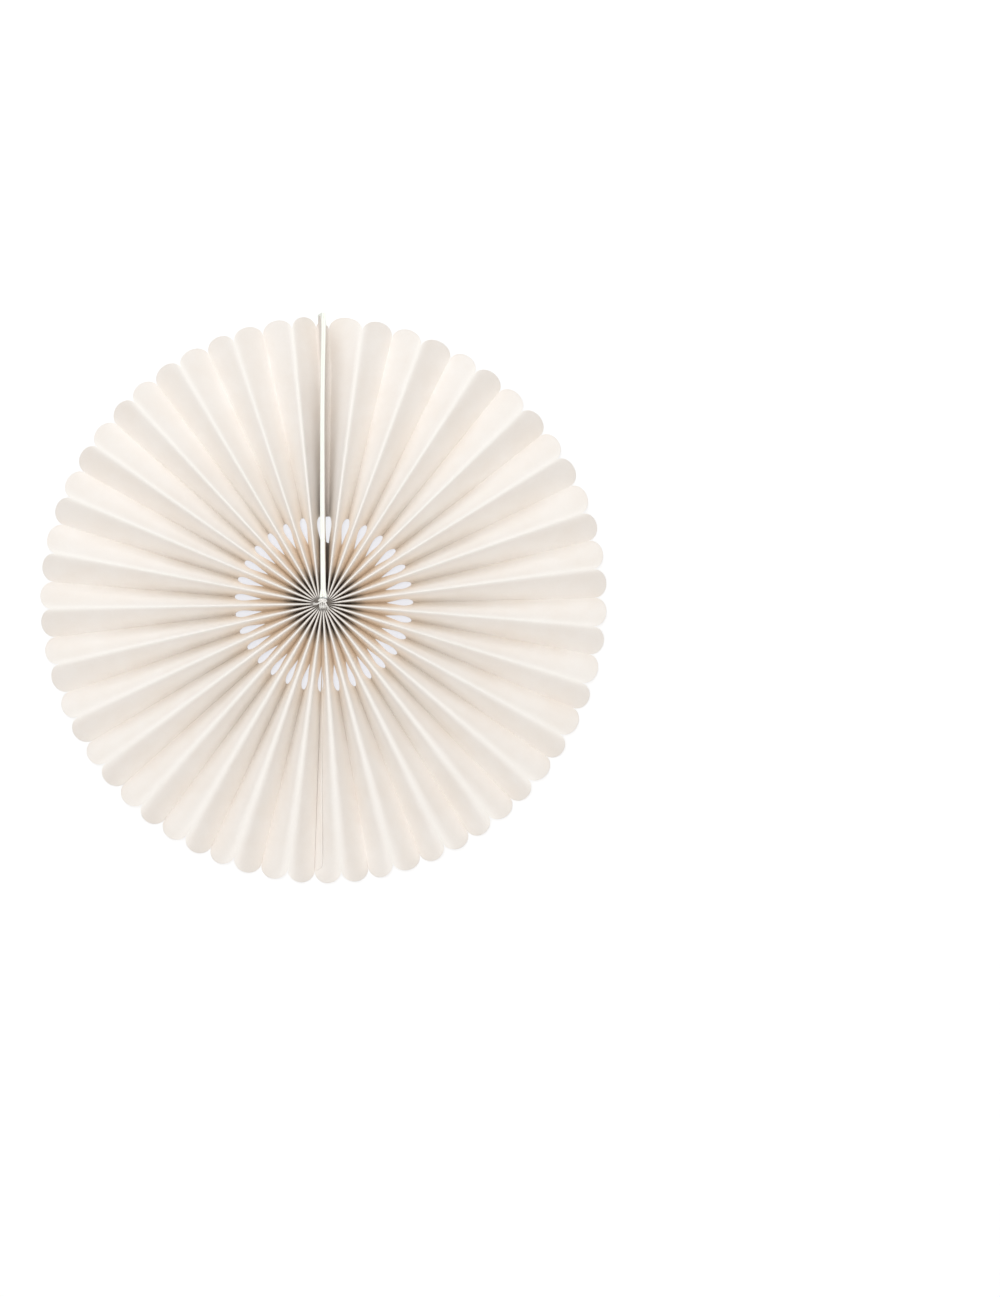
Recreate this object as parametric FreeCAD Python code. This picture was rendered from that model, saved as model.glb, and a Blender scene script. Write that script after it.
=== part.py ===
import FreeCAD
import Part

import math
import os

# Paper fan rosette, in millimetres.
# It hangs upright: +Z is up, the front faces -Y, and the wall plane is Y = 0.
# The origin is the middle of the hub's back. The seam of the two cards is at 12 o'clock.

# The fan
rim_radius = 200.0          # hub to scallop tip, level with the hub
rim_lift = 3.0              # the rim's centre lies this far above the tie
leaf_width = 26.0           # one fold to the next, measured on the flat sheet
paper_thickness = 0.3
pleats_per_side = 15        # front folds on each side of the seam
right_first_angle = 1.1     # degrees from the top to the first back fold, right side
left_first_angle = -0.4     # the same, left side
bottom_seam_angle = 182.0   # clockwise from the top
right_crowding = 3.3        # degrees by which the folds lag at 3 o'clock, closer below
left_crowding = 2.3         # the same at 9 o'clock
fold_land_hub = 1.2         # width over a pressed fold near the hub
fold_land_rim = 4.4         # the same at the rim, where the folds open
packed_share = 0.8          # part of a pleat's pitch that a fold may fill at the hub
glue_flap_width = 9.0       # last leaf, glued to itself at the bottom seam

# Scallops and cut-outs
scallop_depth = 8.8
scallop_sides = 8           # straight sides in one scallop's outline
cutout_inner = 43.0         # hub to the pointed end of a cut-out
cutout_outer = 62.0         # hub to its round end
cutout_depth = 11.0         # how far it reaches into each leaf from the back fold
cutout_sides = 14           # straight sides in one cut-out's outline

# Hub and tie
core_radius = 6.5           # inside this the pleats are pressed solid
core_sides = 20
waist_half_height = 3.0     # pressed stack, middle to top, under the thread
hub_spread = 2.2            # how far the upper pleats start aside of the middle
thread_diameter = 1.2
thread_turns = 4
turn_overlap = 0.05         # how far one turn beds into the next
thread_corner = 0.3         # how much of a stack corner the thread cuts off
thread_sides = 8            # flat sides in the thread's section
knot_ring_radius = 1.15
knot_bed = 0.2              # how far knot and ends bed into the turns
knot_drop = 0.9             # knot below the hub's middle
long_end = 6.5
short_end = 4.2
long_end_angle = 138.0      # clockwise from the top
short_end_angle = 224.0
thread_end_droop = 0.5
thread_end_lift = 0.1       # clearance of the short ends over the paper

# Cards and tape
card_thickness = 1.0
card_overhang = 1.4         # past the first leaf's tip
card_foot_gap = 0.1         # card foot to the thread
tape_thickness = 0.3
tape_setback = 0.6          # tape inside the cards' edges

# Worked out from the above
folds_per_side = 2 * pleats_per_side
mean_leaf_angle = math.pi / folds_per_side
thread_band = thread_turns * (thread_diameter - turn_overlap) + turn_overlap
thread_top = waist_half_height + thread_diameter
card_inner_face = tape_thickness / 2
card_outer_face = card_inner_face + card_thickness
first_leaf_face = card_outer_face + paper_thickness
card_foot = thread_top + card_foot_gap
top_leaf_end = rim_radius + rim_lift
front_plane = -leaf_width
fan_start = core_radius - 1.5
fan_end = rim_radius + 2 * rim_lift
station_radii = [fan_start, 18.0, 72.0, 132.0, fan_end]
stretch = 5.0               # how far cutting tools reach past what they cut
cut_margin = 0.05           # clearance of a cut beside a face that stays


def fold_angle(side, fold):
    """Angle of a fold from the top, in radians, growing towards its own side."""
    share = fold / folds_per_side
    if side > 0:
        first = right_first_angle
        last = bottom_seam_angle
        crowding = right_crowding
    else:
        first = left_first_angle
        last = 360.0 - bottom_seam_angle
        crowding = left_crowding
    degrees = first + (last - first) * share + crowding * math.sin(math.pi * share)
    return math.radians(degrees)


def hub_shift(angle):
    """The upper pleats start beside the cards, the lower ones at the middle."""
    return hub_spread * (1 + math.cos(angle)) / 2


def rim_reach(angle):
    """Length of a leaf along its own line, from where it starts to its tip."""
    return rim_radius + rim_lift * math.cos(angle) - hub_shift(angle) * math.sin(angle)


def fold_land(radius):
    """Width over a fold: pressed near the hub, open at the rim."""
    opened = fold_land_hub + (fold_land_rim - fold_land_hub) * (radius / rim_radius) ** 2
    return min(opened, packed_share * 2 * mean_leaf_angle * radius)


def pleat_depth(radius):
    """Depth from front fold to back fold that a leaf of fixed width leaves."""
    land = fold_land(radius)
    across = mean_leaf_angle * radius - land
    along = leaf_width - land
    return math.sqrt(along ** 2 - across ** 2) + paper_thickness


def inner_land(radius):
    """Width inside a fold, so that the wall keeps its thickness round the corner."""
    across = mean_leaf_angle * radius - fold_land(radius)
    lean = math.atan2(across, pleat_depth(radius) - paper_thickness)
    return fold_land(radius) - 2 * paper_thickness * math.tan((math.pi / 2 - lean) / 2)


def plan_point(side, angle, radius, aside, y):
    """A point on a fold's line, set aside from it away from the top seam."""
    across = hub_shift(angle) + radius * math.sin(angle) + aside * math.cos(angle)
    up = radius * math.cos(angle) - aside * math.sin(angle)
    return (side * across, y, up)


def front_fold_y(radius):
    """The front folds drop towards the rim, the back folds stay on the wall plane."""
    return -pleat_depth(radius) - (leaf_width - pleat_depth(fan_start))


def section_chains(side, radius):
    """Front and back points of one side's folded wall, from the top seam to the bottom."""
    outer = fold_land(radius) / 2
    inner = inner_land(radius) / 2
    front_y = front_fold_y(radius)
    level = radius * math.cos(fold_angle(side, 0))
    front = [(side * first_leaf_face, front_plane, level)]
    back = [(side * card_outer_face, front_plane, level)]
    front.append((side * first_leaf_face, -paper_thickness, level))
    back.append((side * card_outer_face, 0.0, level))
    for fold in range(folds_per_side + 1):
        angle = fold_angle(side, fold)
        if fold == 0:
            reach = max(hub_shift(angle) + radius * math.sin(angle), first_leaf_face)
            front.append((side * (reach + inner), -paper_thickness, level))
            back.append((side * (reach + outer), 0.0, level))
        elif fold == folds_per_side:
            front.append(plan_point(side, angle, radius, -inner, -paper_thickness))
            back.append(plan_point(side, angle, radius, -outer, 0.0))
        elif fold % 2 == 1:
            for aside in (-1, 1):
                front.append(plan_point(side, angle, radius, aside * outer, front_y))
                back.append(plan_point(side, angle, radius, aside * inner, front_y + paper_thickness))
        else:
            for aside in (-1, 1):
                front.append(plan_point(side, angle, radius, aside * inner, -paper_thickness))
                back.append(plan_point(side, angle, radius, aside * outer, 0.0))
    return front, back


def seam_chain(radius):
    """The glue flap standing in the bottom back fold: foot, top, top, foot."""
    angle = math.radians(bottom_seam_angle)
    half = min(paper_thickness, packed_share * inner_land(radius) / 2)
    points = []
    for aside, y in ((half, -paper_thickness), (half, -glue_flap_width),
                     (-half, -glue_flap_width), (-half, -paper_thickness)):
        points.append((radius * math.sin(angle) - aside * math.cos(angle), y,
                       radius * math.cos(angle) + aside * math.sin(angle)))
    return points


def add_quad(facets, a, b, c, d):
    facets.append((a, b, c))
    facets.append((a, c, d))


def faceted_solid(points, facets):
    """A solid from corner points and triangles."""
    shell = Part.Shape()
    shell.makeShapeFromMesh(([FreeCAD.Vector(*point) for point in points], facets), 0.001)
    solid = Part.makeSolid(shell)
    if solid.Volume < 0:
        solid.reverse()
    return solid


def folded_wall():
    """The whole folded sheet as one closed wall of flat facets, ends still square."""
    points = []
    rings = []
    for radius in station_radii:
        right_front, right_back = section_chains(1, radius)
        left_front, left_back = section_chains(-1, radius)
        front = right_front + seam_chain(radius) + left_front[::-1]
        back = right_back + left_back[::-1]
        rings.append((len(points), len(points) + len(front)))
        points.extend(front)
        points.extend(back)
    front_count = len(front)
    back_count = len(back)
    half = len(right_front)
    facets = []
    for (front_a, back_a), (front_b, back_b) in zip(rings, rings[1:]):
        for i in range(front_count - 1):
            add_quad(facets, front_a + i, front_a + i + 1, front_b + i + 1, front_b + i)
        for i in range(back_count - 1):
            add_quad(facets, back_a + i, back_b + i, back_b + i + 1, back_a + i + 1)
        add_quad(facets, back_a, front_a, front_b, back_b)
        add_quad(facets, front_a + front_count - 1, back_a + back_count - 1,
                 back_b + back_count - 1, front_b + front_count - 1)
    for (front_a, back_a), turned in ((rings[0], False), (rings[-1], True)):
        cap = []
        for i in range(half - 1):
            add_quad(cap, front_a + i, back_a + i, back_a + i + 1, front_a + i + 1)
            j = front_count - 1 - i
            k = back_count - 1 - i
            add_quad(cap, back_a + k, front_a + j, front_a + j - 1, back_a + k - 1)
        foot = front_a + half - 1
        edge = back_a + half - 1
        cap.append((foot, edge, foot + 1))
        cap.append((edge, edge + 1, foot + 1))
        cap.append((foot + 1, edge + 1, foot + 4))
        cap.append((edge + 1, foot + 5, foot + 4))
        add_quad(cap, foot + 1, foot + 4, foot + 3, foot + 2)
        facets.extend([facet[::-1] for facet in cap] if turned else cap)
    return faceted_solid(points, facets)


def plate_from_wire(wire, y_from, y_to):
    """A flat outline in the plane of the fan, given thickness along Y."""
    wire.translate(FreeCAD.Vector(0, y_from, 0))
    return Part.Face(wire).extrude(FreeCAD.Vector(0, y_to - y_from, 0))


def scallop():
    """A round leaf end as share of the way across the leaf and distance inside its tip."""
    turns = [math.pi * step / scallop_sides for step in range(scallop_sides + 1)]
    return [((1 - math.cos(turn)) / 2, scallop_depth * (1 - math.sin(turn))) for turn in turns]


def side_outline(side):
    """One side's scallops in plan, from the top seam to the bottom seam."""
    corners = []
    for fold in range(folds_per_side):
        start = fold_angle(side, fold)
        end = fold_angle(side, fold + 1)
        for share, inside in scallop()[:-1]:
            angle = start + (end - start) * share
            x, y, z = plan_point(side, angle, rim_reach(angle) - inside, 0.0, 0.0)
            across = max(side * x, first_leaf_face + cut_margin)
            corners.append(FreeCAD.Vector(side * across, y, z))
    return corners


def scalloped_outline():
    """One round scallop for each leaf, and a square top for the leaves on the cards."""
    right = side_outline(1)
    left = side_outline(-1)
    seam_angle = math.radians(bottom_seam_angle)
    seam_notch = rim_reach(seam_angle) - scallop_depth
    half = first_leaf_face + cut_margin
    corners = [FreeCAD.Vector(half, 0, top_leaf_end), FreeCAD.Vector(half, 0, right[0].z)]
    corners.extend(right)
    corners.append(FreeCAD.Vector(seam_notch * math.sin(seam_angle), 0, seam_notch * math.cos(seam_angle)))
    corners.extend(left[::-1])
    corners.append(FreeCAD.Vector(-half, 0, top_leaf_end))
    return Part.makePolygon(corners + corners[:1])


def teardrop(half_width):
    """Outline of a cut-out as distance from the hub and distance aside of the fold."""
    middle = (cutout_inner + cutout_outer) / 2
    half_length = (cutout_outer - cutout_inner) / 2
    widest = 4 / (3 * math.sqrt(3))
    points = []
    for step in range(cutout_sides):
        turn = 2 * math.pi * step / cutout_sides
        aside = half_width * math.sin(turn) * math.sin(turn / 2) / widest
        points.append((middle - half_length * math.cos(turn), aside))
    return points


def cutout_tool(side, fold):
    """Cuts a back fold and both leaves beside it, straight through from the front."""
    angle = fold_angle(side, fold)
    widest_radius = cutout_inner + (cutout_outer - cutout_inner) * 2 / 3
    half_width = cutout_depth * mean_leaf_angle * widest_radius / leaf_width
    corners = []
    for radius, aside in teardrop(half_width):
        corners.append(FreeCAD.Vector(*plan_point(side, angle, radius, aside, 0.0)))
    tool = plate_from_wire(Part.makePolygon(corners + corners[:1]), front_plane - stretch, stretch)
    if fold == 0:
        keep = Part.makeBox(2 * (first_leaf_face + cut_margin), leaf_width + 4 * stretch, rim_radius)
        keep.translate(FreeCAD.Vector(-first_leaf_face - cut_margin, front_plane - 2 * stretch, 0))
        tool = tool.cut(keep)
    return tool


def first_leaf_notch(side):
    """The same cut-out in the back edge of a leaf that stands against its card."""
    corners = []
    for radius, aside in teardrop(cutout_depth):
        corners.append(FreeCAD.Vector(side * card_outer_face, aside, radius))
    face = Part.Face(Part.makePolygon(corners + corners[:1]))
    return face.extrude(FreeCAD.Vector(side * paper_thickness, 0, 0))


def first_leaf_scallop(side):
    """Takes the corners off the end of a leaf that stands against its card."""
    face = side * card_outer_face
    corners = []
    for share, inside in scallop():
        corners.append(FreeCAD.Vector(face, front_plane * share, top_leaf_end - inside))
    above = top_leaf_end + stretch
    corners.append(FreeCAD.Vector(face, front_plane - stretch, corners[-1].z))
    corners.append(FreeCAD.Vector(face, front_plane - stretch, above))
    corners.append(FreeCAD.Vector(face, stretch, above))
    corners.append(FreeCAD.Vector(face, stretch, corners[0].z))
    rest = Part.Face(Part.makePolygon(corners + corners[:1]))
    return rest.extrude(FreeCAD.Vector(side * (paper_thickness + cut_margin), 0, 0))


def pressed_core():
    """Middle of the stack, pressed solid, with the slot for the cards' feet."""
    corners = []
    for side in range(core_sides):
        turn = 2 * math.pi * side / core_sides
        corners.append(FreeCAD.Vector(core_radius * math.sin(turn), 0, core_radius * math.cos(turn)))
    core = plate_from_wire(Part.makePolygon(corners + corners[:1]), front_plane, 0)
    slot = Part.makeBox(2 * card_outer_face, leaf_width, core_radius)
    slot.translate(FreeCAD.Vector(-card_outer_face, front_plane, thread_top))
    return core.cut(slot)


def thread_seat():
    """Groove round the stack that the thread fills."""
    outer = Part.makeBox(thread_band, leaf_width, 2 * thread_top)
    outer.translate(FreeCAD.Vector(-thread_band / 2, front_plane, -thread_top))
    inner = Part.makeBox(thread_band, leaf_width - 2 * thread_diameter, 2 * waist_half_height)
    inner.translate(FreeCAD.Vector(-thread_band / 2, front_plane + thread_diameter, -waist_half_height))
    return outer.cut(inner)


def pleated_paper():
    wall = folded_wall()
    outline = plate_from_wire(scalloped_outline(), front_plane - stretch, stretch)
    sheet = wall.common(outline)
    tools = []
    for side in (1, -1):
        for fold in range(0, folds_per_side, 2):
            tools.append(cutout_tool(side, fold))
        tools.append(first_leaf_notch(side))
        tools.append(first_leaf_scallop(side))
    tools.append(cutout_tool(1, folds_per_side))
    sheet = sheet.cut(tools)
    return sheet.fuse(pressed_core()).cut(thread_seat())


def end_card(side):
    card = Part.makeBox(card_thickness, leaf_width, top_leaf_end + card_overhang - card_foot)
    left_face = card_inner_face if side > 0 else -card_outer_face
    card.translate(FreeCAD.Vector(left_face, front_plane, card_foot))
    return card


def closing_tape():
    length = top_leaf_end + card_overhang - card_foot - 2 * tape_setback
    tape = Part.makeBox(tape_thickness, leaf_width - 2 * tape_setback, length)
    tape.translate(FreeCAD.Vector(-tape_thickness / 2, front_plane + tape_setback, card_foot + tape_setback))
    return tape


def thread_along(path, closed):
    """A thread of flat-sided section along points that lie in one plane."""
    path = [FreeCAD.Vector(*point) for point in path]
    count = len(path)
    plane = (path[1] - path[0]).cross(path[2] - path[1]).normalize()
    points = []
    for index, point in enumerate(path):
        before = point - path[index - 1] if closed or index > 0 else path[1] - path[0]
        after = path[(index + 1) % count] - point if closed or index < count - 1 else before
        before.normalize()
        after.normalize()
        mitre = (before + after).normalize()
        across = mitre.cross(plane)
        widening = 1 / mitre.dot(after)
        for side in range(thread_sides):
            turn = 2 * math.pi * (side + 0.5) / thread_sides
            offset = across * (math.cos(turn) * widening) + plane * math.sin(turn)
            points.append(tuple(point + offset * (thread_diameter / 2)))
    facets = []
    for index in range(count if closed else count - 1):
        here = index * thread_sides
        there = (index + 1) % count * thread_sides
        for side in range(thread_sides):
            beside = (side + 1) % thread_sides
            add_quad(facets, here + side, here + beside, there + beside, there + side)
    if not closed:
        last = (count - 1) * thread_sides
        for side in range(1, thread_sides - 1):
            facets.append((0, side + 1, side))
            facets.append((last, last + side, last + side + 1))
    return faceted_solid(points, facets)


def thread_loop(x):
    """One turn of thread round the pressed stack, cutting its corners a little."""
    half = thread_diameter / 2
    top = thread_top - half
    path = []
    for y, z in ((front_plane + half, top), (-half, top), (-half, -top), (front_plane + half, -top)):
        toward_y = thread_corner if y < front_plane / 2 else -thread_corner
        toward_z = -thread_corner if z > 0 else thread_corner
        cut = [(x, y, z + toward_z), (x, y + toward_y, z)]
        path.extend(cut if toward_y * toward_z < 0 else cut[::-1])
    return thread_along(path, True)


def knot():
    """The tied ring of the knot, flat on the front of the turns."""
    y = front_plane - thread_diameter / 2 + knot_bed
    path = []
    for side in range(thread_sides):
        turn = 2 * math.pi * side / thread_sides
        path.append((knot_ring_radius * math.cos(turn), y, knot_ring_radius * math.sin(turn) - knot_drop))
    return thread_along(path, True)


def thread_end(length, degrees):
    """A short end of the thread, from the knot down over the front of the hub."""
    over_paper = front_plane - thread_diameter / 2 - thread_end_lift
    in_knot = front_plane - thread_diameter / 2 + knot_bed
    angle = math.radians(degrees)
    path = []
    for share, y in ((0.0, in_knot), (0.5, over_paper), (1.0, over_paper)):
        droop = thread_end_droop * share ** 2
        path.append((length * share * math.sin(angle), y, length * share * math.cos(angle) - droop - knot_drop))
    return thread_along(path, False)


def binding_thread():
    pitch = thread_diameter - turn_overlap
    turns = []
    for turn in range(thread_turns):
        turns.append(thread_loop((turn - (thread_turns - 1) / 2) * pitch))
    ends = [thread_end(long_end, long_end_angle), thread_end(short_end, short_end_angle)]
    return turns[0].fuse(turns[1:] + [knot()] + ends)


nodes = {
    "pleated_paper": pleated_paper(),
    "end_card_left": end_card(-1),
    "end_card_right": end_card(1),
    "closing_tape": closing_tape(),
    "binding_thread": binding_thread(),
}

os.makedirs("parts", exist_ok=True)
for name, shape in nodes.items():
    shape.exportStep("parts/" + name + ".step")
    print(name, "solids", len(shape.Solids), "valid", shape.isValid(), "volume", round(shape.Volume, 1))
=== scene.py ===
import math
import random

import bmesh
import bpy
import numpy as np
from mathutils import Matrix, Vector


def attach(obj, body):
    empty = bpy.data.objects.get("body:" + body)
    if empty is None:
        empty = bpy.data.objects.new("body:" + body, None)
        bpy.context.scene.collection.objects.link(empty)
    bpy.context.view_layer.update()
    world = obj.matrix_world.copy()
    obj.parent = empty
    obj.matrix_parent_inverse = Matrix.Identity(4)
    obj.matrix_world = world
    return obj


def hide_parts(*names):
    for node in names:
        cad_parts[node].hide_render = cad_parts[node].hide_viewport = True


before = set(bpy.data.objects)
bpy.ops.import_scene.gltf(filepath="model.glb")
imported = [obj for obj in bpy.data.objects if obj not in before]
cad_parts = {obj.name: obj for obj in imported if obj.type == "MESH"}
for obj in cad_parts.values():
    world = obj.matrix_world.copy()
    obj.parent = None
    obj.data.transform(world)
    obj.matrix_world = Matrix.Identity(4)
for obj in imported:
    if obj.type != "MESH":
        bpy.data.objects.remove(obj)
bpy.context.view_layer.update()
scene = bpy.context.scene
mm = 0.001
rand = random.Random(28)

# lengths are in millimetres until a mesh is made:
# X across, Y away from the viewer with the wall at 0, Z up, the hub at 0, 0
fan = {
    "rim": 200.0,             # leaf tips at 3 and 9 o'clock
    "rimLift": 3.0,           # how much further the top leaves reach
    "leafWidth": 26.0,        # across one leaf, fold to fold
    "paper": 0.3,             # its thickness
    "leaves": 30,             # on each side of the seam
    "rightFirst": 1.1,        # degrees from the top to the first fold on the right
    "leftFirst": -0.4,        # and on the left
    "bottomSeam": 182.0,      # degrees clockwise to where the sheet closes
    "rightCrowding": 3.3,     # degrees that the folds lag at 3 o'clock
    "leftCrowding": 2.3,      # and at 9 o'clock
    "foldWander": 0.18,       # degrees that a fold strays at the rim
    "hubSpread": 2.2,         # how far aside of the middle the top leaves start
    "waistHalf": 3.0,         # half the height of the stack under the thread
    "waistReach": 4.0,        # where a leaf has left that stack
    "waistSpread": 0.3,       # how fast the leaves move apart in it
    "pressedTo": 5.0,         # nearer to the hub the pleats keep one depth
    "landHub": 1.2,           # width over a pressed fold at the hub
    "landRim": 4.4,           # and over an open one at the rim
    "packed": 0.8,            # share of its room that a fold may fill
    "crowded": 0.62,          # share of its room that the sheet may fill at the hub
    "crowdedTo": 2.2,         # it gets no thinner nearer to the hub
    "valleyBend": (0.3, 0.5),     # rounding of the back folds at the hub and at the rim
    "ridgeBend": (0.45, 2.4),     # and of the front folds
    "looseRidge": 9.0,        # the same at the rim of the lowest leaves
    "looseFrom": (95, 60),    # degrees from the top where they start, and over how many
    "opening": 1.4,           # above 1 the folds open late on their way to the rim
    "valleyFlat": 0.65,       # share of its lean that a leaf keeps in the back fold
    "ripple": 0.06,           # one soft wave across a leaf
    "scallop": 8.8,           # depth of one at the rim
    "cutIn": 43.0,            # hub to the pointed end of a cut-out
    "cutOut": 62.0,           # hub to its round end
    "cutDepth": 14.0,         # how far it reaches into each leaf
    "warp": 0.3,              # gentle waves along a leaf
    "waves": (31.0, 17.0),    # their lengths over 2 pi
    "wavesFrom": (30, 120),   # where they start, and over which length
    "tipCurl": 3.4,           # lower leaf tips curling to the front
    "curlFrom": (165, 40),    # where the curl starts, and over which length
}
# the glued end of the sheet, at the bottom seam
flap = {
    "width": 9.0, "from": 7.0, "rows": 40, "columns": 9, "narrowed": 0.6, "corner": 3.0,
    "lift": 0.42, "belly": 0.5, "aside": 0.6,
}
# the mesh lines across a leaf and the radii of those along it
grid = {
    "columns": 12,
    "hubRows": (0.0, 0.7, 1.4, 2.1, 2.8, 3.6, 4.6, 6.0, 8.0, 10.5, 14.0, 18.0, 23.0, 28.5, 34.0, 39.0),
    "cutSteps": 18,
    "openRows": (68.0, 76.0, 86.0, 97.0, 110.0, 124.0, 138.0),
    "tipFrom": 150.0, "tipSteps": 14, "weld": 0.003,
}
# the closing strip at the top: two cards, each with the sheet's first leaf glued to it
seam = {
    "cardInner": 0.15, "cardOuter": 1.15, "leafMid": 1.3, "foot": 4.3, "top": 204.4,
    "overhang": 1.4,          # of the cards past the leaf that is glued to them
    "glueWidth": 1.6,         # how far from its fold that leaf meets the card
    "glueFrom": (2.5, 4),     # the height where it starts to, and over how much
    "leafGap": 0.35,          # between that leaf and the next fold
    "leafOpening": 0.006,     # what each mm from the hub adds to that gap
    "heights": (0.0, 5.0, 10.5, 35.0, 70.0, 128.0, 165.0, 190.0, 206.0),
    "bow": (0.5, 0.5, 0.4, 0.1, -0.2, -0.2, 0.2, 0.7, 0.9),       # the whole strip, sideways
    "twist": (0.4, 0.4, 0.3, 0.1, 0.0, -0.1, -0.8, -2.8, -4.4),   # its back edge against its front edge
    "splay": (1.55, 1.3, 0.3, 0.15, 0.1, 0.0, 0.05, 0.1, 0.15),   # each card away from the other
}
leafAngle = math.pi / fan["leaves"]
sheetBack = -fan["paper"] / 2


# a socket that can be used in sums
class Wire:
    def __init__(self, kit, socket):
        self.kit = kit
        self.socket = socket

    def maths(self, operation, other, swapped=False):
        values = (other, self) if swapped else (self, other)
        return self.kit.add("Math", {"operation": operation}, dict(enumerate(values)))

    def __add__(self, other):
        return self.maths("ADD", other)

    def __radd__(self, other):
        return self.maths("ADD", other, True)

    def __sub__(self, other):
        return self.maths("SUBTRACT", other)

    def __rsub__(self, other):
        return self.maths("SUBTRACT", other, True)

    def __mul__(self, other):
        return self.maths("MULTIPLY", other)

    def __rmul__(self, other):
        return self.maths("MULTIPLY", other, True)


class NodeKit:
    def __init__(self, tree):
        self.nodes = tree.nodes
        self.links = tree.links
        self.nodes.clear()

    # settings come first, as some of them change the sockets
    def add(self, kind, settings=None, sockets=None, out=0):
        node = self.nodes.new("ShaderNode" + kind)
        for key, value in (settings or {}).items():
            if key == "stops":
                while len(node.color_ramp.elements) < len(value):
                    node.color_ramp.elements.new(0.5)
                for element, (position, colour) in zip(node.color_ramp.elements, value):
                    element.position = position
                    element.color = colour
            else:
                setattr(node, key, value)
        for key, value in (sockets or {}).items():
            self.put(node.inputs[key], value)
        return Wire(self, node.outputs[out]) if node.outputs else node

    def put(self, socket, value):
        if isinstance(value, Wire):
            self.links.new(value.socket, socket)
        else:
            socket.default_value = value

    def blend(self, amount, first, second, kind="MIX"):
        return self.add("Mix", {"data_type": "RGBA", "blend_type": kind}, {0: amount, 6: first, 7: second}, 2)

    def noise(self, where, scale, detail=3.0, rough=0.55, stretch=None):
        if stretch:
            where = self.add("Mapping", {}, {"Vector": where, "Scale": stretch})
        sockets = {"Vector": where, "Scale": scale, "Detail": detail, "Roughness": rough}
        return self.add("TexNoise", {}, sockets)

    def onPiece(self):
        return self.add("TexCoord", out=3)

    def mark(self, name):
        return self.add("Attribute", {"attribute_name": name}, out=2)


class Finish(NodeKit):
    def __init__(self, name, constants):
        self.material = bpy.data.materials.new(name)
        self.material.use_nodes = True
        super().__init__(self.material.node_tree)
        self.body = self.add("BsdfPrincipled", {}, constants)
        self.output = self.add("OutputMaterial", {}, {"Surface": self.body})

    def feed(self, name, value):
        self.put(self.body.socket.node.inputs[name], value)

    def colour(self, value):
        self.feed("Base Color", value)

    def roughness(self, value):
        self.feed("Roughness", value)

    def glow(self, value):
        self.feed("Emission Color", value)

    def bump(self, height, strength, distance):
        normal = self.add("Bump", {}, {"Height": height, "Strength": strength, "Distance": distance})
        self.feed("Normal", normal)


def tint(red, green, blue):
    def linear(level):
        level /= 255.0
        return level / 12.92 if level <= 0.04045 else ((level + 0.055) / 1.055) ** 2.4
    return (linear(red), linear(green), linear(blue), 1.0)


black, white = (0, 0, 0, 1), (1, 1, 1, 1)

paperTone = {
    "face": tint(250, 247, 244), "mottle": tint(247, 242, 237), "crease": tint(255, 253, 250),
    # the warm valley tone is painted shade, and the dark brown is a painted shadow in the tight folds at the
    # hub
    "valleyShadeTone": tint(245, 231, 216), "pressed": tint(56, 45, 38), "dust": tint(146, 138, 131),
    "through": (0.158, 0.137, 0.108, 1.0), "grain": 0.25,
    # kept under 0.5, above which the renderer samples every face as a lamp
    "glowStrength": 0.4,
}


def creamPaper():
    paper = Finish("creamPaper", {"Roughness": 0.8, "Specular IOR Level": 0.25,
                                  "Emission Strength": paperTone["glowStrength"]})
    flat = paper.add("UVMap", {"uv_map": "flatSheet"})
    clouds = paper.noise(flat, 3.5, 4.0, 0.6)
    fibres = paper.noise(flat, 160.0, 3.0, 0.6, (1.0, 0.35, 1.0))
    specks = paper.noise(flat, 520.0, 2.0, 0.5)
    patch = paper.add("ValToRGB", {"stops": ((0.35, black), (0.7, white))}, {"Fac": clouds})
    base = paper.blend(patch, paperTone["face"], paperTone["mottle"])
    # a painted highlight along the front folds, whiter and flecked with fibres
    base = paper.blend(paper.mark("crease") * (0.5 + 0.5 * fibres), base, paperTone["crease"])
    # painted shade: a warm, darker tone deep in the pleats near the hub
    base = paper.blend(paper.mark("hubDepth") * (0.85 + 0.3 * clouds), base, paperTone["valleyShadeTone"])
    # painted shadow: dark brown in the tight folds near the hub, all round the knot and along the closing
    # strip
    base = paper.blend(paper.mark("pressed"), base, paperTone["pressed"])
    # a grey haze painted round the knot, reaching further at the sides
    base = paper.blend(paper.mark("dust"), base, paperTone["dust"])
    shade = 0.965 + 0.05 * fibres
    grey = paper.add("CombineColor", {}, {0: shade, 1: shade, 2: shade})
    paper.colour(paper.blend(1.0, base, grey, "MULTIPLY"))
    # a painted glow in the front's folds, standing in for daylight that shines into them from behind the
    # sheet
    normal = paper.add("NewGeometry", out=1)
    towardWall = paper.add("SeparateXYZ", {}, {0: normal}, out=1)
    front = paper.add("Math", {"operation": "LESS_THAN"}, {0: towardWall, 1: 0.0})
    paper.glow(paper.blend(paper.mark("through") * front, black, paperTone["through"]))
    paper.roughness(0.74 + 0.14 * fibres)
    paper.bump(fibres + 0.5 * specks, paperTone["grain"], 0.00008)
    return paper.material


def whiteCard():
    # a painted glow that lightens the card's faces that are turned from the lamps
    card = Finish("whiteCard", {"Roughness": 0.62, "Specular IOR Level": 0.35, "Emission Strength": 1.0,
                                "Emission Color": (0.24, 0.253, 0.24, 1.0)})
    where = card.onPiece()
    ply = card.noise(where, 900.0, 2.0, 0.5, (1.0, 0.02, 0.02))
    scuffs = card.noise(where, 60.0, 3.0, 0.6)
    base = card.blend(scuffs, tint(231, 237, 231), tint(224, 231, 224))
    card.colour(card.blend(ply * 0.35, base, tint(208, 215, 205)))
    card.roughness(0.55 + 0.15 * scuffs)
    card.bump(ply + 0.4 * scuffs, 0.2, 0.0001)
    return card.material


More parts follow.
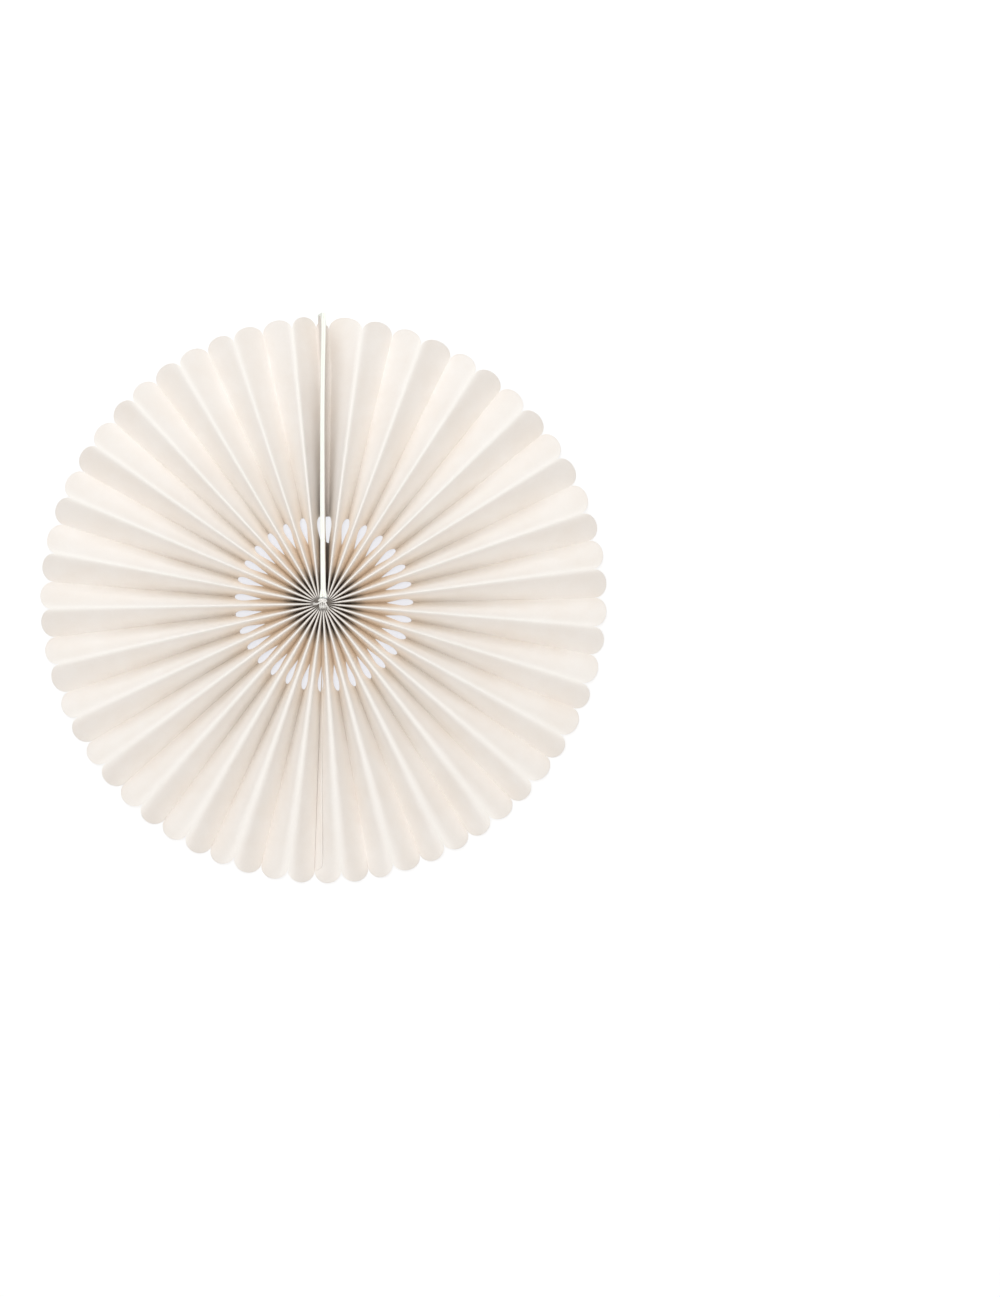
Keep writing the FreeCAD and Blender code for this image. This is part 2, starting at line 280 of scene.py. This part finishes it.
def adhesiveTape():
    tape = Finish("adhesiveTape", {"Roughness": 0.35, "Specular IOR Level": 0.45, "Coat Weight": 0.1})
    cloth = tape.noise(tape.onPiece(), 700.0, 2.0, 0.6)
    tape.colour(tape.blend(cloth, tint(250, 251, 245), tint(232, 236, 226)))
    tape.roughness(0.3 + 0.25 * cloth)
    tape.bump(cloth, 0.2, 0.00005)
    return tape.material


def cottonThread():
    thread = Finish("cottonThread", {"Roughness": 0.9, "Specular IOR Level": 0.2, "Sheen Weight": 0.25})
    fuzz = thread.noise(thread.onPiece(), 2600.0, 3.0, 0.65)
    thread.colour(thread.blend(fuzz, tint(246, 245, 242), tint(255, 255, 254)))
    thread.roughness(0.8 + 0.15 * fuzz)
    thread.bump(fuzz, 0.5, 0.00008)
    return thread.material


finishes = {
    "cream_paper": creamPaper(), "white_card": whiteCard(),
    "adhesive_tape": adhesiveTape(), "cotton_thread": cottonThread(),
}
print("finishes made")


def place(name, data):
    made = bpy.data.objects.new(name, data)
    scene.collection.objects.link(made)
    return made


def settle(piece, finish, *nodes):
    piece.data.materials.append(finishes[finish])
    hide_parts(*nodes)
    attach(piece, "root")
    return piece


def shapedMesh(holder):
    bpy.context.view_layer.update()
    return bpy.data.meshes.new_from_object(holder.evaluated_get(bpy.context.evaluated_depsgraph_get()))


def smooth(t):
    t = np.clip(t, 0.0, 1.0)
    return t * t * (3 - 2 * t)


def fadeIn(value, start, over):
    return smooth((value - start) / over)


def fadeOut(value, end, over):
    return smooth((end - value) / over)


# how far each fold strays, but for the ones beside the seams
def foldStrays():
    strays = {}
    for side in (1, -1):
        for fold in range(fan["leaves"] + 1):
            fixed = fold in (0, 1, fan["leaves"])
            strays[side, fold] = 0.0 if fixed else rand.uniform(-1, 1)
    return strays


strays = foldStrays()


# the fold lines run as on the solid, but for their strays and the strip's lean
def foldAngle(side, fold):
    share = fold / fan["leaves"]
    first = fan["rightFirst"] if side > 0 else fan["leftFirst"]
    last = fan["bottomSeam"] if side > 0 else 360 - fan["bottomSeam"]
    crowding = fan["rightCrowding"] if side > 0 else fan["leftCrowding"]
    return math.radians(first + (last - first) * share + crowding * math.sin(math.pi * share))


def hubShift(angle):
    return fan["hubSpread"] * (1 + np.cos(angle)) / 2


def rimReach(angle):
    return fan["rim"] + fan["rimLift"] * np.cos(angle) - hubShift(angle) * np.sin(angle)


def foldLand(radius):
    opened = fan["landHub"] + (fan["landRim"] - fan["landHub"]) * (radius / fan["rim"]) ** 2
    return np.minimum(opened, fan["packed"] * 2 * leafAngle * radius)


def pleatDepth(radius):
    radius = np.maximum(radius, fan["pressedTo"])
    land = foldLand(radius)
    across = leafAngle * radius - land
    lengthwise = fan["leafWidth"] - land
    return np.sqrt(lengthwise ** 2 - across ** 2) + fan["paper"]


def ridgeY(radius):
    pressed = pleatDepth(np.array(fan["pressedTo"]))
    return -pleatDepth(radius) - (fan["leafWidth"] - pressed) + fan["paper"] / 2


def onStrip(name, z):
    return np.interp(z, seam["heights"], seam[name])


def stripDrift(y, z):
    return onStrip("bow", z) + onStrip("twist", z) * (1 + y / fan["leafWidth"])


def foldLine(side, fold, radius):
    angle = foldAngle(side, fold)
    stray = math.radians(fan["foldWander"]) * strays[side, fold]
    bent = angle + stray * smooth(radius / fan["rim"])
    across = hubShift(angle) + radius * np.sin(bent)
    up = radius * np.cos(bent)
    if fold == 0:
        across = np.maximum(across, seam["leafMid"] + seam["leafGap"] + seam["leafOpening"] * radius)
    # at the waist the folds lie one above the other
    waist = fan["waistHalf"] * (1 - 2 * fold / fan["leaves"])
    keep = smooth(radius / fan["waistReach"])
    across = keep * across + (1 - keep) * fan["waistSpread"] * radius
    up = keep * up + (1 - keep) * waist
    x = side * across
    # the folds beside the strip lean with it
    follow = {0: 1.0, 1: 0.3, 2: 0.1}.get(fold, 0.0)
    if follow:
        backness = 1.0 if fold % 2 == 0 else 0.3
        x = x + keep * follow * (onStrip("bow", up) + backness * onStrip("twist", up))
        x = x + side * keep * follow * onStrip("splay", up)
    return x, up


# a leaf's section: how far across and how deep it is at each step from valley to ridge
sectionRadii = np.linspace(0.5, 210.0, 90)
sectionShares = np.linspace(0.0, 1.0, 401)


def makeSections(ridgeAtRim):
    sections = np.zeros((len(sectionRadii), len(sectionShares), 2))
    s = sectionShares * fan["leafWidth"]
    for i, radius in enumerate(sectionRadii):
        opened = (radius / fan["rim"]) ** fan["opening"]
        valley = fan["valleyBend"][0] + (fan["valleyBend"][1] - fan["valleyBend"][0]) * opened
        ridge = fan["ridgeBend"][0] + (ridgeAtRim - fan["ridgeBend"][0]) * opened
        lean = math.acos(min(1.0, leafAngle * radius / fan["leafWidth"]))
        turn = lean * (fan["valleyFlat"] + (1 - fan["valleyFlat"]) * smooth(s / valley))
        turn = turn * smooth((fan["leafWidth"] - s) / ridge)
        turn = turn * (1 + fan["ripple"] * np.sin(2 * np.pi * sectionShares))
        steps = np.stack([np.cos(turn), np.sin(turn)], 1) * s[1]
        sections[i, 1:] = np.cumsum((steps[1:] + steps[:-1]) / 2, 0)
        sections[i] = sections[i] / sections[i, -1]
    return sections


tightSections = makeSections(fan["ridgeBend"][1])
looseSections = makeSections(fan["looseRidge"])


def readSection(table, share, radius):
    row = np.interp(radius, sectionRadii, np.arange(len(sectionRadii)))
    column = share * (len(sectionShares) - 1)
    i = np.minimum(row.astype(int), len(sectionRadii) - 2)
    j = np.minimum(column.astype(int), len(sectionShares) - 2)
    down, along = (row - i)[..., None], (column - j)[..., None]
    upper = table[i, j] * (1 - along) + table[i, j + 1] * along
    lower = table[i + 1, j] * (1 - along) + table[i + 1, j + 1] * along
    return upper * (1 - down) + lower * down


def leafSurface(side, backFold, frontFold, share, radius, loose):
    section = (1 - loose) * readSection(tightSections, share, radius)
    section = section + loose * readSection(looseSections, share, radius)
    across, deep = section[..., 0], section[..., 1]
    xBack, zBack = foldLine(side, backFold, radius)
    xFront, zFront = foldLine(side, frontFold, radius)
    x = xBack + (xFront - xBack) * across
    y = sheetBack + (ridgeY(radius) - sheetBack) * deep
    z = zBack + (zFront - zBack) * across
    return x, y, z


# each row of a leaf: its radius, how deep it is cut at the back fold, and how far it
# follows the scallop
def leafRows():
    middle = (fan["cutIn"] + fan["cutOut"]) / 2
    half = (fan["cutOut"] - fan["cutIn"]) / 2
    widestDrop = 3 * math.sqrt(3) / 4
    rows = [(radius, 0.0, 0.0) for radius in grid["hubRows"]]
    for step in range(grid["cutSteps"] + 1):
        turn = math.pi * step / grid["cutSteps"]
        drop = math.sin(turn) * math.sin(turn / 2) * widestDrop
        rows.append((middle - half * math.cos(turn), fan["cutDepth"] * max(drop, 0.0), 0.0))
    rows.extend((radius, 0.0, 0.0) for radius in grid["openRows"])
    for step in range(grid["tipSteps"]):
        rows.append((grid["tipFrom"], 0.0, math.sin(math.pi / 2 * (step + 1) / grid["tipSteps"])))
    return np.array(rows)


rowRadius, rowCut, rowEnd = (column[:, None] for column in leafRows().T)
spread = (1 - np.cos(np.linspace(0, math.pi, grid["columns"] + 1))) / 2


def leafShape(reach):
    share = (rowCut + (fan["leafWidth"] - rowCut) * spread[None, :]) / fan["leafWidth"]
    tip = reach - fan["scallop"] * (1 - 2 * np.sqrt(spread * (1 - spread)))[None, :]
    radius = rowRadius + (tip - rowRadius) * rowEnd
    return share, radius


def leafWaves(share, radius):
    phase = [rand.uniform(0, 2 * math.pi) for _ in range(4)]
    size = [rand.uniform(0.4, 1.0) for _ in range(2)]
    belly = np.sin(math.pi * share)
    wave = size[0] * np.sin(radius / fan["waves"][0] + phase[0]) * belly
    wave = wave + 0.6 * size[1] * np.sin(radius / fan["waves"][1] + phase[1] + 3 * share) * belly ** 2
    return fan["warp"] * wave * fadeIn(radius, *fan["wavesFrom"])


marks = {
    # where a mark starts or ends and over how much it fades, in shares of the leaf's width
    "valleyShadeShare": (0.98, 0.3), "foldShadowShare": (0.95, 0.4),
    "seamShare": (0.7, 0.65), "glowShare": (1, 0.5),
    # the same along the leaf, in mm from the hub
    "hubDepth": (85, 60), "foldShadowFolds": (28, 14), "foldShadowHub": (6.5, 3),
    "seamShade": (195, 110), "seamHub": (85, 50),
    "glowFrom": (15, 18), "glowBright": (115, 80), "glowEnd": (190, 90),
    # the painted highlight on a front fold: its width at the hub, and how many mm widen it by one more
    "highlightWidth": 0.4, "highlightOpening": 60, "highlightFrom": 10,
    # how far the grey round the knot reaches at the top, how much further at the sides, on the card's leaf
    # and the flap
    "greyTop": 1.0, "greySide": 8.5, "greySeam": 5.0, "greyFlap": 8.0, "greyFade": 4.0,
    # strengths; pressed is the painted shadow all round the hub
    "pressed": 0.75, "dust": 0.75, "seamLeaf": 1.0, "besideSeam": 0.6,
}


def paperMarks(share, radius, greyReach, seamShade=0.0):
    fromRidge = (1 - share) * fan["leafWidth"]
    # a painted highlight along each front fold, widening towards the rim
    crease = np.exp(-(fromRidge / (marks["highlightWidth"] + radius / marks["highlightOpening"])) ** 2)
    crease = crease * smooth(radius / marks["highlightFrom"])
    seamSide = seamShade * fadeOut(share, *marks["seamShare"])
    seamSide = seamSide * (0.4 + 0.6 * fadeOut(radius, *marks["seamShade"]))
    # painted shade deep in the pleats near the hub, and beside the closing strip
    hubDepth = fadeOut(share, *marks["valleyShadeShare"]) * fadeOut(radius, *marks["hubDepth"])
    hubDepth = np.maximum(hubDepth, 0.3 * seamSide)
    # painted shadow in the tight folds near the hub, all round the hub, and along the closing strip
    pressed = fadeOut(share, *marks["foldShadowShare"]) * fadeOut(radius, *marks["foldShadowFolds"])
    pressed = np.maximum(pressed, marks["pressed"] * fadeOut(radius, *marks["foldShadowHub"]))
    pressed = np.maximum(pressed, seamSide * (0.13 + 0.6 * fadeOut(radius, *marks["seamHub"])))
    # painted glow in the front's folds, fading out at the rim and left off the leaves beside the strip
    through = fadeOut(share, *marks["glowShare"]) * fadeIn(radius, *marks["glowFrom"])
    through = through * (0.3 + 0.7 * fadeOut(radius, *marks["glowBright"]))
    return {
        "crease": crease, "hubDepth": hubDepth, "pressed": pressed,
        "dust": marks["dust"] * fadeOut(radius, greyReach, marks["greyFade"]),
        "through": through * fadeOut(radius, *marks["glowEnd"]) * (1 - seamShade),
        "valley": np.where(share < 0.0005, 1.0, 0.0),
    }


class SheetMesh:
    def __init__(self):
        self.points, self.faces, self.flat, self.marks = [], [], [], []
        self.count = 0

    def addLeaf(self, x, y, z, fromSeam, radius, leafMarks, flip):
        height, width = x.shape
        for i in range(height - 1):
            for j in range(width - 1):
                a = self.count + i * width + j
                quad = (a, a + 1, a + width + 1, a + width)
                self.faces.append(quad[::-1] if flip else quad)
        self.points.append(np.stack([x, y, z], 2).reshape(-1, 3))
        self.flat.append(np.stack([fromSeam, radius], 2).reshape(-1, 2) / 100)    # one UV unit is 100 mm
        self.marks.append(leafMarks)
        self.count += height * width

    def build(self, name):
        mesh = bpy.data.meshes.new(name)
        mesh.from_pydata((np.concatenate(self.points) * mm).tolist(), [], self.faces)
        corners = np.zeros(len(mesh.loops), int)
        mesh.loops.foreach_get("vertex_index", corners)
        layer = mesh.uv_layers.new(name="flatSheet")
        layer.data.foreach_set("uv", np.concatenate(self.flat)[corners].astype(np.float32).ravel())
        for label in self.marks[0]:
            values = np.concatenate([leafMarks[label].ravel() for leafMarks in self.marks])
            attribute = mesh.attributes.new(label, "FLOAT", "POINT")
            attribute.data.foreach_set("value", values.astype(np.float32))
        mesh.polygons.foreach_set("use_smooth", np.ones(len(mesh.polygons), bool))
        return mesh


def sideLeaf(sheet, side, leaf):
    first, last = foldAngle(side, leaf), foldAngle(side, leaf + 1)
    middle = (first + last) / 2
    backFirst = leaf % 2 == 0
    backFold, frontFold = (leaf, leaf + 1) if backFirst else (leaf + 1, leaf)
    turned = spread if backFirst else spread[::-1]
    share, radius = leafShape(rimReach(first + (last - first) * turned)[None, :])
    lower = fadeIn(math.degrees(middle), *fan["looseFrom"])
    x, y, z = leafSurface(side, backFold, frontFold, share, radius, lower)
    y = y - leafWaves(share, radius)
    curl = fan["tipCurl"] * lower * fadeIn(radius, *fan["curlFrom"]) ** 2 * (0.6 + 0.4 * rand.random())
    y = y - curl * np.sqrt(np.maximum(np.sin(math.pi * share), 0))
    fromSeam = (leaf + (share if backFirst else 1 - share)) * fan["leafWidth"] * side
    greyReach = marks["greyTop"] + marks["greySide"] * abs(math.sin(middle))
    leafMarks = paperMarks(share, radius, greyReach, marks["besideSeam"] if leaf == 0 else 0.0)
    sheet.addLeaf(x, y, z, fromSeam, radius, leafMarks, (side > 0) == backFirst)


# the first leaf lies glued on its card
def cardLeaf(sheet, side):
    share, radius = leafShape(np.full((1, len(spread)), seam["top"] - seam["overhang"]))
    xFold, z = foldLine(side, 0, radius)
    y = sheetBack - (fan["leafWidth"] + sheetBack) * share
    xCard = stripDrift(y, z) + side * (seam["leafMid"] + onStrip("splay", z))
    glued = smooth(share * fan["leafWidth"] / seam["glueWidth"]) * fadeIn(z, *seam["glueFrom"])
    x = xFold + (xCard - xFold) * glued
    fromSeam = -side * share * fan["leafWidth"]
    leafMarks = paperMarks(share, radius, marks["greySeam"], marks["seamLeaf"])
    sheet.addLeaf(x, y, z, fromSeam, radius, leafMarks, side > 0)


# the sheet's far end lies glued on the leaf beside the bottom seam
def bottomFlap(sheet):
    fold = fan["leaves"]
    reach = float(rimReach(foldAngle(1, fold))) - fan["scallop"]
    body = np.linspace(flap["from"], reach - 4, flap["rows"])
    radius = np.concatenate([body, reach - np.array([2.2, 1.0, 0.3, 0.0])])[:, None]
    width = flap["width"] * (1 - flap["narrowed"] * fadeIn(radius, reach - flap["corner"], flap["corner"]))
    share = width * np.linspace(0, 1, flap["columns"])[None, :] / fan["leafWidth"]
    radius = radius + 0 * share
    x, y, z = leafSurface(1, fold, fold - 1, share, radius, 1.0)
    room = np.minimum(1.0, radius / 40) * (0.45 + 0.55 * smooth(share * fan["leafWidth"] / 1.5))
    lift = room * (flap["lift"] + flap["belly"] * share * np.sin(radius / 23) ** 2)
    leafMarks = paperMarks(share + 0.01, radius, marks["greyFlap"])
    sheet.addLeaf(x - lift * flap["aside"], y - lift, z, 800 + share * 100, radius, leafMarks, False)


def weldLeaves(mesh):
    work = bmesh.new()
    work.from_mesh(mesh)
    bmesh.ops.remove_doubles(work, verts=work.verts, dist=grid["weld"] * mm)
    valley = work.verts.layers.float["valley"]
    for edge in work.edges:
        if edge.verts[0][valley] > 0.5 and edge.verts[1][valley] > 0.5:
            edge.smooth = False      # a hard crease at the back folds
    work.to_mesh(mesh)
    work.free()


def thicken(piece):
    group = piece.vertex_groups.new(name="thickness")
    for vertex in piece.data.vertices:
        radius = math.hypot(vertex.co.x, vertex.co.z) / mm
        room = fan["crowded"] * leafAngle * max(radius, fan["crowdedTo"])
        group.add([vertex.index], min(1.0, room / fan["paper"]), "REPLACE")
    thick = piece.modifiers.new("thickness", "SOLIDIFY")
    thick.thickness = fan["paper"] * mm
    thick.offset = 0.0
    thick.vertex_group = "thickness"
    thin = piece.data
    piece.data = shapedMesh(piece)
    piece.modifiers.clear()
    piece.vertex_groups.clear()
    bpy.data.meshes.remove(thin)
    piece.data.name = piece.name


def foldedSheet():
    sheet = SheetMesh()
    for side in (1, -1):
        cardLeaf(sheet, side)
        for leaf in range(fan["leaves"]):
            sideLeaf(sheet, side, leaf)
    bottomFlap(sheet)
    mesh = sheet.build("foldedSheet")
    weldLeaves(mesh)
    piece = place("foldedSheet", mesh)
    thicken(piece)
    return piece


paperPiece = settle(foldedSheet(), "cream_paper", "pleated_paper")
print("folded sheet:", len(paperPiece.data.polygons), "faces")


# the cards of the closing seam and the tape between them
strip = {
    "front": -26.0, "back": -0.05, "tapeSetback": 0.6,
    "cardBevel": 0.14, "tapeBevel": 0.05, "tuck": 0.8, "rows": 60, "across": 10,
}


def closedMesh(name, points, faces, rounded):
    mesh = bpy.data.meshes.new(name)
    mesh.from_pydata([tuple(c * mm for c in point) for point in points], [], faces)
    work = bmesh.new()
    work.from_mesh(mesh)
    bmesh.ops.recalc_face_normals(work, faces=work.faces)
    work.to_mesh(mesh)
    work.free()
    mesh.polygons.foreach_set("use_smooth", [rounded] * len(mesh.polygons))
    return mesh


def loftFaces(ringCount, ringSize):
    faces = []
    for i in range(ringCount - 1):
        for j in range(ringSize):
            a, b = i * ringSize, (i + 1) * ringSize
            k = (j + 1) % ringSize
            faces.append((a + j, a + k, b + k, b + j))
    faces.append(tuple(reversed(range(ringSize))))
    faces.append(tuple((ringCount - 1) * ringSize + j for j in range(ringSize)))
    return faces


def stripPiece(name, inner, outer, span, bevel):
    front, back, foot, top = span
    ys = np.linspace(front + bevel, back - bevel, strip["across"])
    heights = [foot, foot + bevel, *np.linspace(foot + 1.0, top - 1.0, strip["rows"]), top - bevel, top]
    points = []
    for z in heights:
        tuck = bevel * strip["tuck"] if z in (foot, top) else 0.0
        left, right = inner + tuck, outer - tuck
        ring = [(left, y) for y in ys] + [(left + bevel, back - tuck), (right - bevel, back - tuck)]
        ring += [(right, y) for y in ys[::-1]] + [(right - bevel, front + tuck), (left + bevel, front + tuck)]
        for x, y in ring:
            outward = 1 if x > 0 else -1
            points.append((x + stripDrift(y, z) + outward * onStrip("splay", z), y, z))
    return place(name, closedMesh(name, points, loftFaces(len(heights), len(ring)), False))


setback = strip["tapeSetback"]
cardSpan = (strip["front"], strip["back"], seam["foot"], seam["top"])
tapeSpan = (strip["front"] + setback, -setback, seam["foot"] + setback, seam["top"] - setback)
leftCard = stripPiece("leftCard", -seam["cardOuter"], -seam["cardInner"], cardSpan, strip["cardBevel"])
rightCard = stripPiece("rightCard", seam["cardInner"], seam["cardOuter"], cardSpan, strip["cardBevel"])
seamTape = stripPiece("seamTape", -seam["cardInner"], seam["cardInner"], tapeSpan, strip["tapeBevel"])
settle(leftCard, "white_card", "end_card_left")
settle(rightCard, "white_card", "end_card_right")
settle(seamTape, "adhesive_tape", "closing_tape")
print("cards and tape made")


# the thread round the waist, its knot and its two ends
cord = {
    "turns": (-1.75, -0.58, 0.58, 1.75), "high": 3.6, "front": -26.45, "back": -0.35,
    "corner": 0.35,           # 1 would make a turn an ellipse, 0 a box
    "ply": 0.34, "plyCentre": 0.27, "twistEvery": 2.6, "plies": 2,
    "sides": 7, "loopSteps": 84, "routeSteps": 40,
    "frayFrom": 0.75, "fray": 1.4, "tipThin": 0.25,
    # where the knot and the ends pass, with Y counted from this far in front of the turns
    "knotForward": 0.75,
    "knot": ((-2.7, 0.5, 2.0), (-2.4, 0.0, 3.1), (0.0, -0.15, 3.3), (2.5, 0.0, 2.9), (2.9, 0.5, 1.7),
             (1.4, 0.1, 0.9), (0.2, -0.3, 1.6), (-0.6, -0.35, 2.9), (-1.6, 0.0, 3.4)),
    "rightEnd": ((-1.9, 0.2, 3.0), (0.0, -0.45, 2.2), (1.7, 0.1, 1.2), (2.6, 0.0, -0.4),
                 (3.6, -0.1, -2.6), (4.6, 0.05, -4.3)),
    "leftEnd": ((2.2, 0.3, 2.8), (0.2, -0.2, 2.0), (-1.7, 0.1, 1.0), (-3.2, 0.0, 0.1),
                (-5.0, -0.1, -0.3), (-6.8, 0.05, 0.2)),
}


def pliedThread(points, closed, cutEnd=False):
    points = [Vector(point) for point in points]
    count = len(points)
    sides = cord["sides"]
    made, faces = [], []
    travelled = [0.0]
    for a, b in zip(points, points[1:]):
        travelled.append(travelled[-1] + (b - a).length)
    total = travelled[-1] + ((points[0] - points[-1]).length if closed else 0.0)
    windings = max(1, round(total / cord["twistEvery"]))
    for ply in range(cord["plies"]):
        start = len(made)
        for i, point in enumerate(points):
            before = points[i - 1] if i or closed else points[0]
            after = points[(i + 1) % count] if i < count - 1 or closed else points[-1]
            forward = (after - before).normalized()
            aside = forward.cross(Vector((1, 0, 0)))
            if aside.length < 0.2:
                aside = forward.cross(Vector((0, 1, 0)))
            aside.normalize()
            other = forward.cross(aside)
            turn = 2 * math.pi * (windings * travelled[i] / total + ply / cord["plies"])
            frayed = cutEnd and i > count * cord["frayFrom"]
            fray = 1.0 + (cord["fray"] * i / count if frayed else 0.0)
            thin = cord["tipThin"] if cutEnd and i == count - 1 else 1.0
            centre = point + (aside * math.cos(turn) + other * math.sin(turn)) * cord["plyCentre"] * fray
            for k in range(sides):
                a = 2 * math.pi * k / sides
                made.append(centre + (aside * math.cos(a) + other * math.sin(a)) * cord["ply"] * thin)
        for i in range(count if closed else count - 1):
            a, b = start + i * sides, start + (i + 1) % count * sides
            for k in range(sides):
                n = (k + 1) % sides
                faces.append((a + k, a + n, b + n, b + k))
        if not closed:
            faces.append(tuple(start + k for k in reversed(range(sides))))
            faces.append(tuple(start + (count - 1) * sides + k for k in range(sides)))
    return made, faces


def roundedLoop(x, lean):
    middle = (cord["front"] + cord["back"]) / 2
    half = (cord["back"] - cord["front"]) / 2
    points = []
    for step in range(cord["loopSteps"]):
        turn = 2 * math.pi * step / cord["loopSteps"]
        c, s = math.cos(turn), math.sin(turn)
        y = middle + half * math.copysign(abs(c) ** cord["corner"], c)
        z = cord["high"] * math.copysign(abs(s) ** cord["corner"], s)
        points.append((x + lean * s, y, z))
    return points


def threadRoute(name):
    corners = cord[name]
    curve = bpy.data.curves.new("route", "CURVE")
    curve.dimensions = "3D"
    curve.resolution_u = cord["routeSteps"] // len(corners)
    line = curve.splines.new("NURBS")
    line.points.add(len(corners) - 1)
    for point, (x, y, z) in zip(line.points, corners):
        point.co = (x, cord["front"] - cord["knotForward"] + y, z, 1)
    line.order_u = 3
    line.use_endpoint_u = True
    holder = place("route", curve)
    mesh = shapedMesh(holder)
    points = [tuple(vertex.co) for vertex in mesh.vertices]
    bpy.data.objects.remove(holder)
    bpy.data.curves.remove(curve)
    bpy.data.meshes.remove(mesh)
    return points


def tiedThread():
    lengths = [pliedThread(roundedLoop(x, rand.uniform(-0.12, 0.12)), True) for x in cord["turns"]]
    lengths.append(pliedThread(threadRoute("knot"), False))
    lengths.append(pliedThread(threadRoute("rightEnd"), False, True))
    lengths.append(pliedThread(threadRoute("leftEnd"), False, True))
    made, faces = [], []
    for newPoints, newFaces in lengths:
        start = len(made)
        made.extend(newPoints)
        faces.extend(tuple(start + i for i in face) for face in newFaces)
    return place("tiedThread", closedMesh("tiedThread", made, faces, True))


threadPiece = settle(tiedThread(), "cotton_thread", "binding_thread")
print("thread tied:", len(threadPiece.data.polygons), "faces")


# wall, floor, lamps and camera, in metres but for the photo's pixels
studio = {
    "wallGap": 0.0018, "wallHalf": 1.6, "wallGlow": 0.7, "wallWhite": 0.39, "wallStrength": 0.4,
    "hubShade": 0.12,         # how far the wall looks darker behind the hub
    "floorLevel": -0.75, "floorHalf": 4.0,
    "ambient": (1.0, 0.942, 0.87, 1.0), "ambientStrength": 0.5, "backdrop": (0.8, 0.8, 0.8, 1.0),
    "lamps": {
        "key": {"at": (-0.35, -1.2, 1.45), "size": 1.2, "power": 10.6, "colour": (0.88, 0.94, 1.0)},
        "fill": {"at": (0.0, -2.6, 0.1), "size": 0.4, "power": 18.3, "colour": (1.0, 0.98, 0.95)},
        "behind": {"at": (0.8, 2.2, 0.9), "size": 1.0, "power": 14.0, "colour": (1.0, 0.98, 0.95)},
    },
    "photo": (1000, 1297), "hubPixel": (323.5, 604.0),
    "pixelsPerMetre": 1419.0, "measuredAt": 0.01,      # that scale holds so far in front of the wall
    "eyeDistance": 3.0, "sensor": 36.0,
}


def wallPaint():
    glow = studio["wallGlow"] / studio["wallStrength"]
    paint = Finish("wallPaint", {"Base Color": (studio["wallWhite"],) * 3 + (1.0,), "Roughness": 0.9,
                                 "Emission Strength": studio["wallStrength"], "Specular IOR Level": 0.0})
    where = paint.onPiece()
    warmer = (0.975 * glow, 0.985 * glow, 0.995 * glow, 1.0)
    plain = paint.blend(paint.noise(where, 5.0), (0.97 * glow, 0.985 * glow, glow, 1.0), warmer)
    # painted shade: the wall's glow is darker and bluer behind the hub
    reach = paint.add("VectorMath", {"operation": "LENGTH"}, {0: where}, out=1)
    inside = studio["hubShade"] - reach
    behindHub = paint.add("Math", {"operation": "MULTIPLY", "use_clamp": True}, {0: inside, 1: 25.0})
    paint.glow(paint.blend(behindHub, plain, (0.82 * glow, 0.85 * glow, 0.93 * glow, 1.0)))
    # only the camera sees the wall, and only from the front
    fromBehind = paint.add("NewGeometry", out=6)
    seen = paint.add("LightPath") * (1 - fromBehind)
    shown = paint.add("MixShader", {}, {0: seen, 1: paint.add("BsdfTransparent"), 2: paint.body})
    paint.put(paint.output.inputs["Surface"], shown)
    return paint.material


def floorPaint():
    paint = Finish("floorPaint", {"Roughness": 0.9, "Specular IOR Level": 0.1})
    paint.colour(paint.blend(paint.noise(paint.onPiece(), 3.0), tint(240, 240, 241), tint(232, 232, 234)))
    return paint.material


def stagePlane(name, corners, paint):
    mesh = bpy.data.meshes.new(name)
    mesh.from_pydata(corners, [], [(0, 1, 2, 3)])
    mesh.materials.append(paint)
    place(name, mesh)


def setStage():
    side, gap, low = studio["wallHalf"], studio["wallGap"], studio["floorLevel"]
    far = studio["floorHalf"]
    wall = [(-side, gap, low), (side, gap, low), (side, gap, side), (-side, gap, side)]
    ground = [(-far, -far, low), (far, -far, low), (far, far, low), (-far, far, low)]
    stagePlane("wall", wall, wallPaint())
    stagePlane("ground", ground, floorPaint())


def setWorld():
    scene.world = bpy.data.worlds.new("studioWorld")
    scene.world.use_nodes = True
    kit = NodeKit(scene.world.node_tree)
    ambient = kit.add("Background", {}, {"Color": studio["ambient"], "Strength": studio["ambientStrength"]})
    backdrop = kit.add("Background", {}, {"Color": studio["backdrop"], "Strength": 1.0})
    both = kit.add("MixShader", {}, {0: kit.add("LightPath"), 1: ambient, 2: backdrop})
    kit.add("OutputWorld", {}, {"Surface": both})


def hangLamp(name, lamp):
    light = bpy.data.lights.new(name, "AREA")
    light.shape = "SQUARE"
    light.size = lamp["size"]
    light.energy = lamp["power"]
    light.color = lamp["colour"]
    holder = place(name, light)
    holder.location = lamp["at"]
    holder.rotation_euler = (-Vector(lamp["at"])).to_track_quat("-Z", "Y").to_euler()


def setCamera():
    photoWidth, photoHeight = studio["photo"]
    hubAcross, hubDown = studio["hubPixel"]
    camera = bpy.data.cameras.new("camera")
    camera.sensor_fit = "HORIZONTAL"
    camera.sensor_width = studio["sensor"]
    camera.lens = studio["sensor"] * studio["eyeDistance"] * studio["pixelsPerMetre"] / photoWidth
    camera.clip_end = 50.0
    eye = place("camera", camera)
    eye.location.x = (photoWidth / 2 - hubAcross) / studio["pixelsPerMetre"]
    eye.location.y = -(studio["eyeDistance"] + studio["measuredAt"])
    eye.location.z = (hubDown - photoHeight / 2) / studio["pixelsPerMetre"]
    eye.rotation_euler = (math.pi / 2, 0, 0)
    scene.camera = eye


setStage()
setWorld()
for lampName, lampValues in studio["lamps"].items():
    hangLamp(lampName, lampValues)
setCamera()
scene.view_settings.view_transform = "Standard"

print("stage set")
